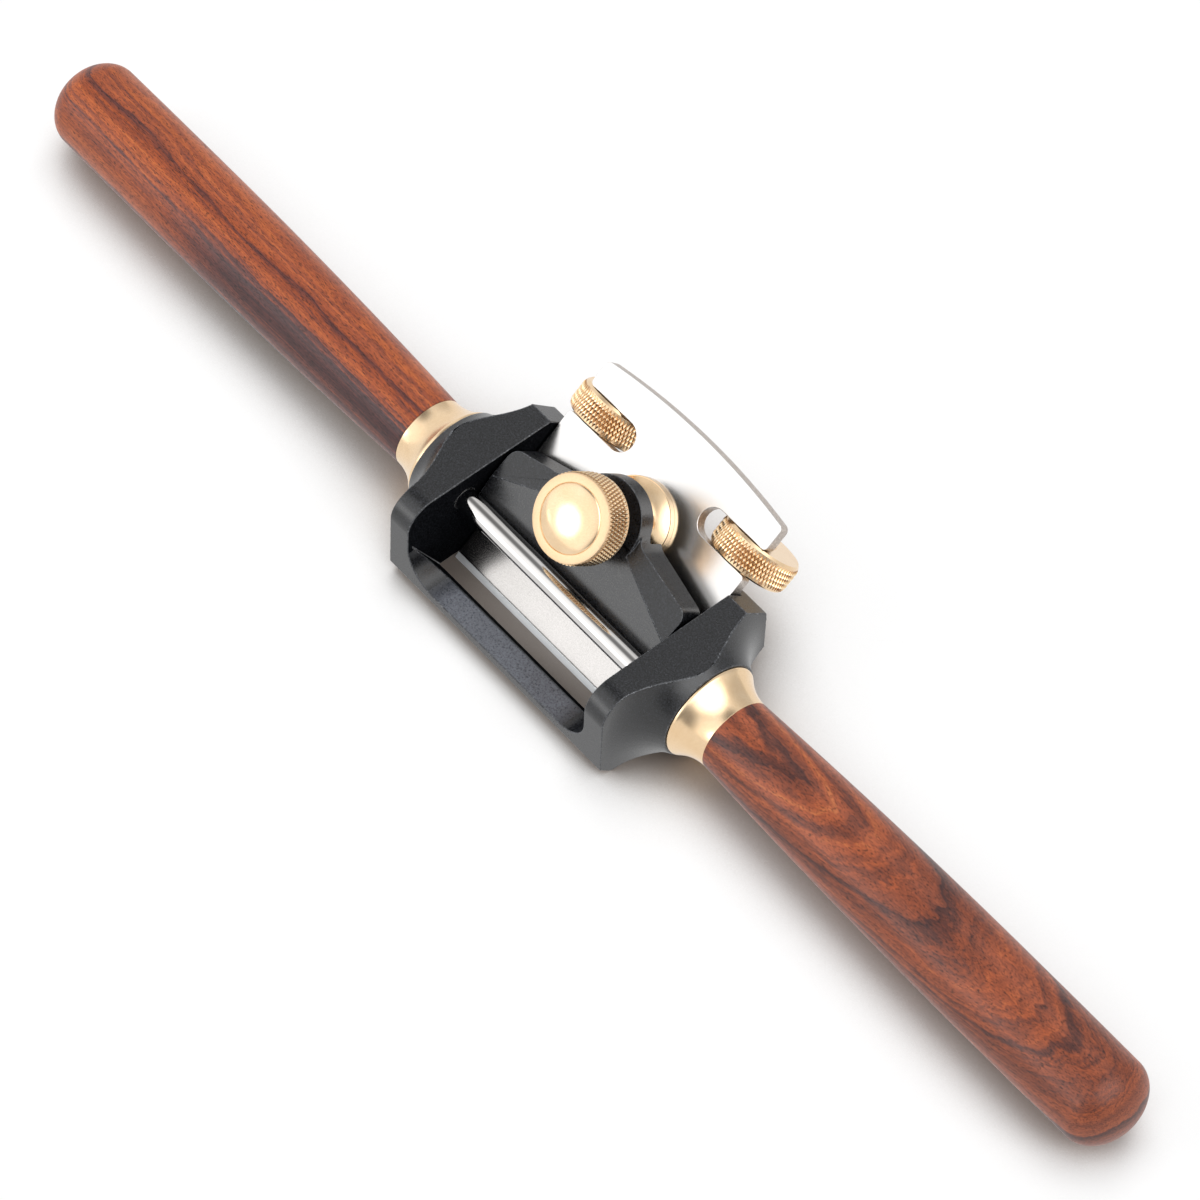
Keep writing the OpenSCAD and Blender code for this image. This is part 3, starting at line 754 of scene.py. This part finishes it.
class SPOKESHAVE_OT_cross_pin(bpy.types.Operator):
    """Makes the polished cross pin"""
    bl_idname = "spokeshave.cross_pin"
    bl_label = "Cross pin"

    def execute(self, context):
        low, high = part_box("cap_pin")
        radius = (high[2] - low[2]) / 2
        length = high[0] - low[0]
        edge = 0.3 * MM
        profile = [(radius - edge, 0), (radius, edge), (radius, length - edge), (radius - edge, length)]
        mesh = turned("polished_pin", profile, (low[0], (low[1] + high[1]) / 2, (low[2] + high[2]) / 2), (1, 0, 0))
        make_piece("polished_pin", mesh, material_once(polished_steel), "frame_body", ["cap_pin"])
        return {"FINISHED"}


class SPOKESHAVE_OT_clamp_knob(bpy.types.Operator):
    """Makes the domed knob with its diamond knurl"""
    bl_idname = "spokeshave.clamp_knob"
    bl_label = "Clamp knob"

    def execute(self, context):
        sizes = context.scene.spokeshave_metal
        spin = JOINTS["screw_spin"]
        axis = Vector(spin["axis"])
        up_screw = 15.5 * MM                    # up the screw's axis, from the foot's underside to the knob's
        base = Vector(spin["pos_m"]) + axis * up_screw
        radius, height = sizes.knob_radius, sizes.knob_height
        root = radius - sizes.knurl_depth
        bevel = 0.35 * MM
        ring = 6.95 * MM                        # inner radius of the flat ring round the dome
        dome = 6.75 * MM
        groove = 0.14 * MM
        rise = 1.1 * MM
        profile = [(root - bevel, 0), (root, bevel), (root, height - bevel),
                   (root - bevel * 0.3, height - bevel * 0.3), (root - bevel, height),
                   (ring, height), ((ring + dome) / 2, height - groove), (dome, height)]
        profile += [(dome * (1 - t), height + rise * (1 - (1 - t) ** 2.3) ** 0.86)
                    for t in [i / 30 for i in range(1, 30)]]
        profile.append((0.0, height + rise))
        body = painted(turned("domed_knob", profile, base, axis, 160),
                       material_once(satin_brass, "Blasted brass", 0.5, 0.6))
        body.materials.append(material_once(satin_brass, "Polished brass", 0.13, 0.18))
        for face in body.polygons:
            place = face.center - base
            if place.dot(axis) > height - 0.01 * MM and place.cross(axis).length < dome:
                face.material_index = 1
        start = bevel * 0.9
        band = knurl("knob_band", radius, height - 2 * start, sizes.knurl_pitch, sizes.knurl_row,
                     sizes.knurl_depth + ROOT_LAP, material_once(knurled_brass), base + axis * start, axis)
        mesh = joined("domed_knob", body, band)
        make_piece("domed_knob", mesh, None, "screw", ["cap_knob"])
        return {"FINISHED"}


class SPOKESHAVE_OT_clamp_screw(bpy.types.Operator):
    """Makes the threaded clamp screw under the knob, with its ball end"""
    bl_idname = "spokeshave.clamp_screw"
    bl_label = "Clamp screw"

    def execute(self, context):
        spin = JOINTS["screw_spin"]
        origin, axis = Vector(spin["pos_m"]), Vector(spin["axis"])
        radius, pitch, end = 3.0 * MM, 1.0 * MM, 19.0 * MM
        neck, neck_end = 1.4 * MM, 6.4 * MM
        thread = threaded("clamp_thread", origin, axis, radius, pitch, neck_end, end)
        ball = 2.1 * MM
        centre = BALL_UP_FOOT / math.cos(math.radians(SCREW_LEAN))
        profile = [(0.0, centre - ball)] + arc((0, centre), ball, -90, 46, 20)[1:]
        profile += [(neck, centre + 1.6 * MM), (neck, neck_end)]
        tip = turned("clamp_ball", profile, origin, axis, 48)
        steel = material_once(turned_steel)
        mesh = joined("clamp_screw_steel", painted(thread, steel), painted(tip, steel))
        make_piece("clamp_screw_steel", mesh, None, "screw", ["cap_screw"])
        return {"FINISHED"}


class SPOKESHAVE_OT_pressure_foot(bpy.types.Operator):
    """Makes the swivelling brass foot"""
    bl_idname = "spokeshave.pressure_foot"
    bl_label = "Pressure foot"

    def execute(self, context):
        along_iron = Vector(JOINTS["iron_slide"]["axis"])
        up = Vector((1, 0, 0)).cross(along_iron)
        ball = BALL_UP_FOOT
        origin = Vector(JOINTS["screw_spin"]["pos_m"]) - along_iron * ball * math.tan(math.radians(SCREW_LEAN))
        wide, rim, top, height = 8.7 * MM, 1.4 * MM, 6.2 * MM, 5.2 * MM
        socket = 2.15 * MM
        edge = 0.15 * MM
        flank = [(top + (wide - 0.25 * MM - top) * (1 - t) ** 1.7, rim + (height - rim) * t)
                 for t in [i / 14 for i in range(15)]]
        profile = [(0.0, 0.0), (wide - edge, 0.0), (wide, edge), (wide, rim - edge),
                   (wide - 0.1 * MM, rim - 0.02 * MM)]
        profile += flank + [(socket + 0.2 * MM, height), (socket, height - 0.2 * MM), (socket, ball)]
        profile += [(socket * math.cos(math.radians(a)), ball - socket * math.sin(math.radians(a)))
                    for a in (15, 30, 45, 60, 75)] + [(0.0, ball - socket)]
        mesh = turned("turned_foot", profile, origin, up, 128)
        make_piece("turned_foot", mesh, material_once(satin_brass), "foot", ["pressure_foot"])
        painted(frame["nodes"]["foot_clip"].data, material_once(turned_steel))
        return {"FINISHED"}


class SPOKESHAVE_OT_depth_wheels(bpy.types.Operator):
    """Makes both knurled depth wheels and the threaded studs that they turn on"""
    bl_idname = "spokeshave.depth_wheels"
    bl_label = "Depth wheels"

    def execute(self, context):
        sizes = context.scene.spokeshave_metal
        for side in SIDES:
            spin = JOINTS[side + "_wheel_spin"]
            axis = Vector(spin["axis"])
            centre = Vector(spin["pos_m"])
            width, radius = sizes.wheel_width, sizes.wheel_radius
            base = centre - axis * width / 2
            root = radius - sizes.knurl_depth
            bore, mouth = 2.55 * MM, 0.3 * MM
            low_bevel, bevel = 0.35 * MM, 0.5 * MM
            profile = [(bore, 0), (root - low_bevel, 0), (root, low_bevel), (root, width - bevel),
                       (root - bevel * 0.8, width), (bore + mouth, width), (bore, width - mouth), (bore, 0)]
            body = painted(turned("depth_wheel", profile, base, axis, 128), material_once(satin_brass))
            band = knurl("wheel_band", radius, width - bevel - low_bevel, sizes.knurl_pitch, sizes.knurl_row,
                         sizes.knurl_depth + ROOT_LAP, material_once(knurled_brass),
                         base + axis * low_bevel, axis)
            make_piece("depth_wheel_" + side, joined("depth_wheel_" + side, body, band), None,
                       side + "_wheel", ["adjuster_wheel_" + side])
            stud_radius, pitch, start, end = 2.5 * MM, 0.8 * MM, -17.5 * MM, 6.6 * MM
            stud = threaded("wheel_stud_" + side, centre, axis, stud_radius, pitch, start, end)
            make_piece("wheel_stud_" + side, stud, material_once(turned_steel), "frame_body",
                       ["adjuster_stud_" + side])
        return {"FINISHED"}


class SPOKESHAVE_OT_ferrules(bpy.types.Operator):
    """Makes the flared brass ferrules"""
    bl_idname = "spokeshave.ferrules"
    bl_label = "Ferrules"

    def execute(self, context):
        neck = context.scene.spokeshave_wood.neck_radius
        for side, sign in zip(SIDES, (-1, 1)):
            low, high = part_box("ferrule_" + side)
            wide = (high[2] - low[2]) / 2
            length = high[0] - low[0]
            start = high[0] if sign < 0 else low[0]
            lip = 0.6 * MM
            drop = wide - neck
            flank = length - lip
            sweep = (flank ** 2 + drop ** 2) / (2 * drop)
            edge = 0.12 * MM
            rod_hole = 3.05 * MM
            socket = 6.02 * MM
            curve = [(neck + sweep - math.sqrt(sweep ** 2 - (flank * (1 - t)) ** 2), lip + flank * t)
                     for t in [i / 24 for i in range(25)]]
            profile = [(rod_hole, 0), (wide - edge, 0), (wide, edge), (wide, lip - edge), (wide - 0.05 * MM, lip)]
            profile += curve[1:-1] + [(neck, length - edge), (neck - edge, length), (socket, length),
                                      (socket, length - TENON), (rod_hole, length - TENON), (rod_hole, 0)]
            centre = (start, (low[1] + high[1]) / 2, (low[2] + high[2]) / 2)
            mesh = turned("ferrule_" + side + "_turned", profile, centre, (sign, 0, 0), 160)
            make_piece("turned_ferrule_" + side, mesh, material_once(satin_brass), "frame_body",
                       ["ferrule_" + side])
        return {"FINISHED"}


class SPOKESHAVE_OT_handles(bpy.types.Operator):
    """Makes the turned rosewood handles, and finishes the rods and inserts inside them"""
    bl_idname = "spokeshave.handles"
    bl_label = "Handles"

    def execute(self, context):
        sizes = context.scene.spokeshave_wood
        orange = ("#3a1f21", "#5f3029", "#944521", "#b05826", "#c57038")
        brown = ("#2f1819", "#522920", "#813f25", "#a04f2a", "#bb6a39")
        woods = {"left": ("Rosewood, left handle", (-0.435, 0.0, 0.02), (0, 0, 0), 5.0,
                          (12.0, -78.0, 0.18), orange),
                 "right": ("Rosewood, right handle", (-1.65, 0.0, -0.17), (30, 7, 0), 9.0,
                           (-60.0, 400.0, 0.1), brown)}
        for side, sign in zip(SIDES, (-1, 1)):
            low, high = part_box("handle_" + side)
            start, end = sorted((abs(low[0]), abs(high[0])))
            bore, bore_depth, tenon_radius = 4.82 * MM, 22.0 * MM, 5.98 * MM
            shoulder = start + TENON
            dome = end - sizes.end_length
            belly = shoulder + sizes.belly_at * (end - shoulder)
            profile = [(bore, start), (tenon_radius, start), (tenon_radius, shoulder)]
            for i in range(81):
                x = shoulder + (dome - shoulder) * i / 80
                if x < belly:
                    drop = (sizes.belly_radius - sizes.neck_radius) * ((belly - x) / (belly - shoulder)) ** 2
                else:
                    drop = (sizes.belly_radius - sizes.end_radius) * ((x - belly) / (dome - belly)) ** 2
                profile.append((sizes.belly_radius - drop, x))
            for i in range(1, 32):
                turn = math.radians(90 * i / 32)
                profile.append((sizes.end_radius * math.cos(turn), dome + sizes.end_length * math.sin(turn)))
            profile.append((0.0, end))
            centre = (0, (low[1] + high[1]) / 2, (low[2] + high[2]) / 2)
            bottom = [(0.0, start + bore_depth), (bore, start + bore_depth)]
            mesh = turned("rosewood_handle_" + side, bottom + profile, centre, (sign, 0, 0), 144)
            make_piece("rosewood_handle_" + side, mesh, material_once(rosewood, *woods[side]),
                       "frame_body", ["handle_" + side])
            for node, maker in (("tang_rod_", turned_steel), ("handle_insert_", satin_brass)):
                painted(frame["nodes"][node + side].data, material_once(maker))
        return {"FINISHED"}


class SPOKESHAVE_OT_stage(bpy.types.Operator):
    """Makes the pale floor, the soft lamps, the surrounding light and the camera"""
    bl_idname = "spokeshave.stage"
    bl_label = "Stage"

    def execute(self, context):
        settings = context.scene.spokeshave_stage
        floor_mesh = bpy.data.meshes.new("floor")
        wide = 6.0
        corners = [(-wide, -wide, 0), (wide, -wide, 0), (wide, wide, 0), (-wide, wide, 0)]
        floor_mesh.from_pydata(corners, [], [(0, 1, 2, 3)])
        floor = bpy.data.objects.new("floor", floor_mesh)
        context.scene.collection.objects.link(floor)
        floor_mesh.materials.append(self.floor_material(settings))
        for name, place, size, power in (("soft_top", (-0.35, 0.45, 1.1), 0.9, 9.0),
                                         ("soft_front", (-0.7, -1.0, 0.75), 0.9, 9.0),
                                         ("soft_right", (1.1, 0.2, 0.8), 0.6, 4.0)):
            lamp = bpy.data.lights.new(name, "AREA")
            lamp.size = size
            lamp.energy = power
            holder = bpy.data.objects.new(name, lamp)
            holder.location = place
            holder.rotation_euler = Vector(place).to_track_quat("Z", "Y").to_euler()
            holder.visible_glossy = False      # gloss shows the white surroundings, as a light tent would
            context.scene.collection.objects.link(holder)
        self.world(context, settings)
        camera_data = bpy.data.cameras.new("camera")
        camera_data.sensor_width = 36.0
        camera_data.lens = settings.lens
        camera_data.clip_start = 0.05
        camera_data.clip_end = 50.0
        camera = bpy.data.objects.new("camera", camera_data)
        back = Vector(settings.camera_back).normalized()
        right = Vector(settings.camera_right).normalized()
        up = back.cross(right).normalized()
        right = up.cross(back).normalized()
        facing = Matrix((right, up, back)).transposed().to_4x4()
        camera.matrix_world = Matrix.Translation(settings.camera_place) @ facing
        context.scene.collection.objects.link(camera)
        context.scene.camera = camera
        context.scene.view_settings.view_transform = "Standard"
        return {"FINISHED"}

    def floor_material(self, settings):
        """White card: even and dull. In the open it shows as white; close under the tool it keeps its shade, and
        there its colour is painted a darker brown-grey as painted shade.
        """
        material, tree, shader = new_material("White card")
        path = add(tree, "ShaderNodeLightPath").outputs
        seen = maths(tree, "ADD", path["Is Camera Ray"], path["Is Glossy Ray"], True)
        seen = maths(tree, "ADD", seen, path["Is Transmission Ray"], True)
        open_sky = add(tree, "ShaderNodeAmbientOcclusion", {"samples": 8}, {"Distance": 0.05}).outputs["AO"]
        lift = maths(tree, "MULTIPLY", spread(tree, open_sky, 0.45, 0.97), 0.95)
        lift = maths(tree, "MAXIMUM", lift, maths(tree, "MULTIPLY", path["Is Glossy Ray"],
                                                  spread(tree, open_sky, 0.05, 0.3)))
        # painted shade: where little open sky reaches the card, under and inside the tool, its colour is painted
        # brown-grey
        feed(tree, shader, {
            "Base Color": blend_colours(tree, spread(tree, open_sky, 0.3, 0.8), linear("#a3978e"),
                                        tuple(settings.floor_colour) + (1.0,)),
            "Roughness": 0.9, "Specular IOR Level": 0.1})
        glow = add(tree, "ShaderNodeEmission", inputs={"Color": (1, 1, 1, 1), "Strength": 1.0})
        mix = add(tree, "ShaderNodeMixShader", inputs={
            0: maths(tree, "MULTIPLY", seen, lift), 1: shader.outputs[0], 2: glow.outputs[0]})
        out = next(n for n in tree.nodes if n.type == "OUTPUT_MATERIAL")
        tree.links.new(mix.outputs[0], out.inputs["Surface"])
        return material

    def world(self, context, settings):
        """White surroundings for the eye, brighter and dimmer patches for gloss, an even light for the rest."""
        world = bpy.data.worlds.new("White studio")
        context.scene.world = world
        world.use_nodes = True
        tree = world.node_tree
        tree.nodes.clear()
        path = add(tree, "ShaderNodeLightPath").outputs
        away = add(tree, "ShaderNodeTexCoord").outputs["Generated"]

        def near(direction, inner, outer):
            """1 inside a cone round a direction, 0 outside a wider one; half angles in degrees."""
            cosine = add(tree, "ShaderNodeVectorMath", {"operation": "DOT_PRODUCT"}, {
                0: away, 1: Vector(direction).normalized()}).outputs["Value"]
            return spread(tree, cosine, math.cos(math.radians(outer)), math.cos(math.radians(inner)))

        gloss = 1.0
        # each patch: degrees round from +X and up, half angles of its core and its fringe, and what it adds
        patches = ((-118, 18, 28, 55, 0.4), (-114, 18, 4, 14, 2.6), (-131, -7, 3, 11, 2.6), (0, 57, 20, 40, 2.0),
                   (95, 12, 25, 50, -0.35), (-48, 4, 14, 36, -0.7), (172, 64, 7, 26, -0.75))
        for around, up, inner, outer, change in patches:
            direction = Matrix.Rotation(math.radians(around), 3, "Z") @ Vector(
                (math.cos(math.radians(up)), 0, math.sin(math.radians(up))))
            gloss = maths(tree, "ADD", gloss, maths(tree, "MULTIPLY", near(direction, inner, outer), change))
        plain = add(tree, "ShaderNodeBackground", inputs={"Color": (1, 1, 1, 1), "Strength": settings.world_strength})
        boxes = add(tree, "ShaderNodeBackground", inputs={"Color": (1, 1, 1, 1), "Strength": gloss})
        white = add(tree, "ShaderNodeBackground", inputs={"Color": (1, 1, 1, 1), "Strength": 1.0})
        lit = add(tree, "ShaderNodeMixShader", inputs={
            0: path["Is Glossy Ray"], 1: plain.outputs[0], 2: boxes.outputs[0]})
        seen = maths(tree, "ADD", path["Is Camera Ray"], path["Is Transmission Ray"], True)
        mix = add(tree, "ShaderNodeMixShader", inputs={0: seen, 1: lit.outputs[0], 2: white.outputs[0]})
        add(tree, "ShaderNodeOutputWorld", inputs={"Surface": mix.outputs[0]})


class SPOKESHAVE_PT_panel(bpy.types.Panel):
    """The builder's panel in the sidebar"""
    bl_idname = "SPOKESHAVE_PT_panel"
    bl_label = "Spokeshave"
    bl_space_type = "VIEW_3D"
    bl_region_type = "UI"
    bl_category = "Spokeshave"

    def draw(self, context):
        for group in ("spokeshave_metal", "spokeshave_wood", "spokeshave_stage"):
            box = self.layout.box()
            settings = getattr(context.scene, group)
            for name in settings.__annotations__:
                box.prop(settings, name)
        for operator in OPERATORS:
            self.layout.operator(operator.bl_idname)


OPERATORS = (SPOKESHAVE_OT_frame, SPOKESHAVE_OT_iron, SPOKESHAVE_OT_lever_cap, SPOKESHAVE_OT_cross_pin,
             SPOKESHAVE_OT_clamp_knob, SPOKESHAVE_OT_clamp_screw, SPOKESHAVE_OT_pressure_foot,
             SPOKESHAVE_OT_depth_wheels, SPOKESHAVE_OT_ferrules, SPOKESHAVE_OT_handles, SPOKESHAVE_OT_stage)
CLASSES = (SpokeshaveMetal, SpokeshaveWood, SpokeshaveStage) + OPERATORS + (SPOKESHAVE_PT_panel,)


def register():
    for cls in CLASSES:
        bpy.utils.register_class(cls)
    bpy.types.Scene.spokeshave_metal = PointerProperty(type=SpokeshaveMetal)
    bpy.types.Scene.spokeshave_wood = PointerProperty(type=SpokeshaveWood)
    bpy.types.Scene.spokeshave_stage = PointerProperty(type=SpokeshaveStage)


def unregister():
    del bpy.types.Scene.spokeshave_stage
    del bpy.types.Scene.spokeshave_wood
    del bpy.types.Scene.spokeshave_metal
    for cls in reversed(CLASSES):
        bpy.utils.unregister_class(cls)


def main():
    register()
    bpy.ops.spokeshave.frame()
    bpy.ops.spokeshave.iron()
    bpy.ops.spokeshave.lever_cap()
    bpy.ops.spokeshave.cross_pin()
    bpy.ops.spokeshave.clamp_knob()
    bpy.ops.spokeshave.clamp_screw()
    bpy.ops.spokeshave.pressure_foot()
    bpy.ops.spokeshave.depth_wheels()
    bpy.ops.spokeshave.ferrules()
    bpy.ops.spokeshave.handles()
    bpy.ops.spokeshave.stage()


if __name__ == "__main__":
    main()
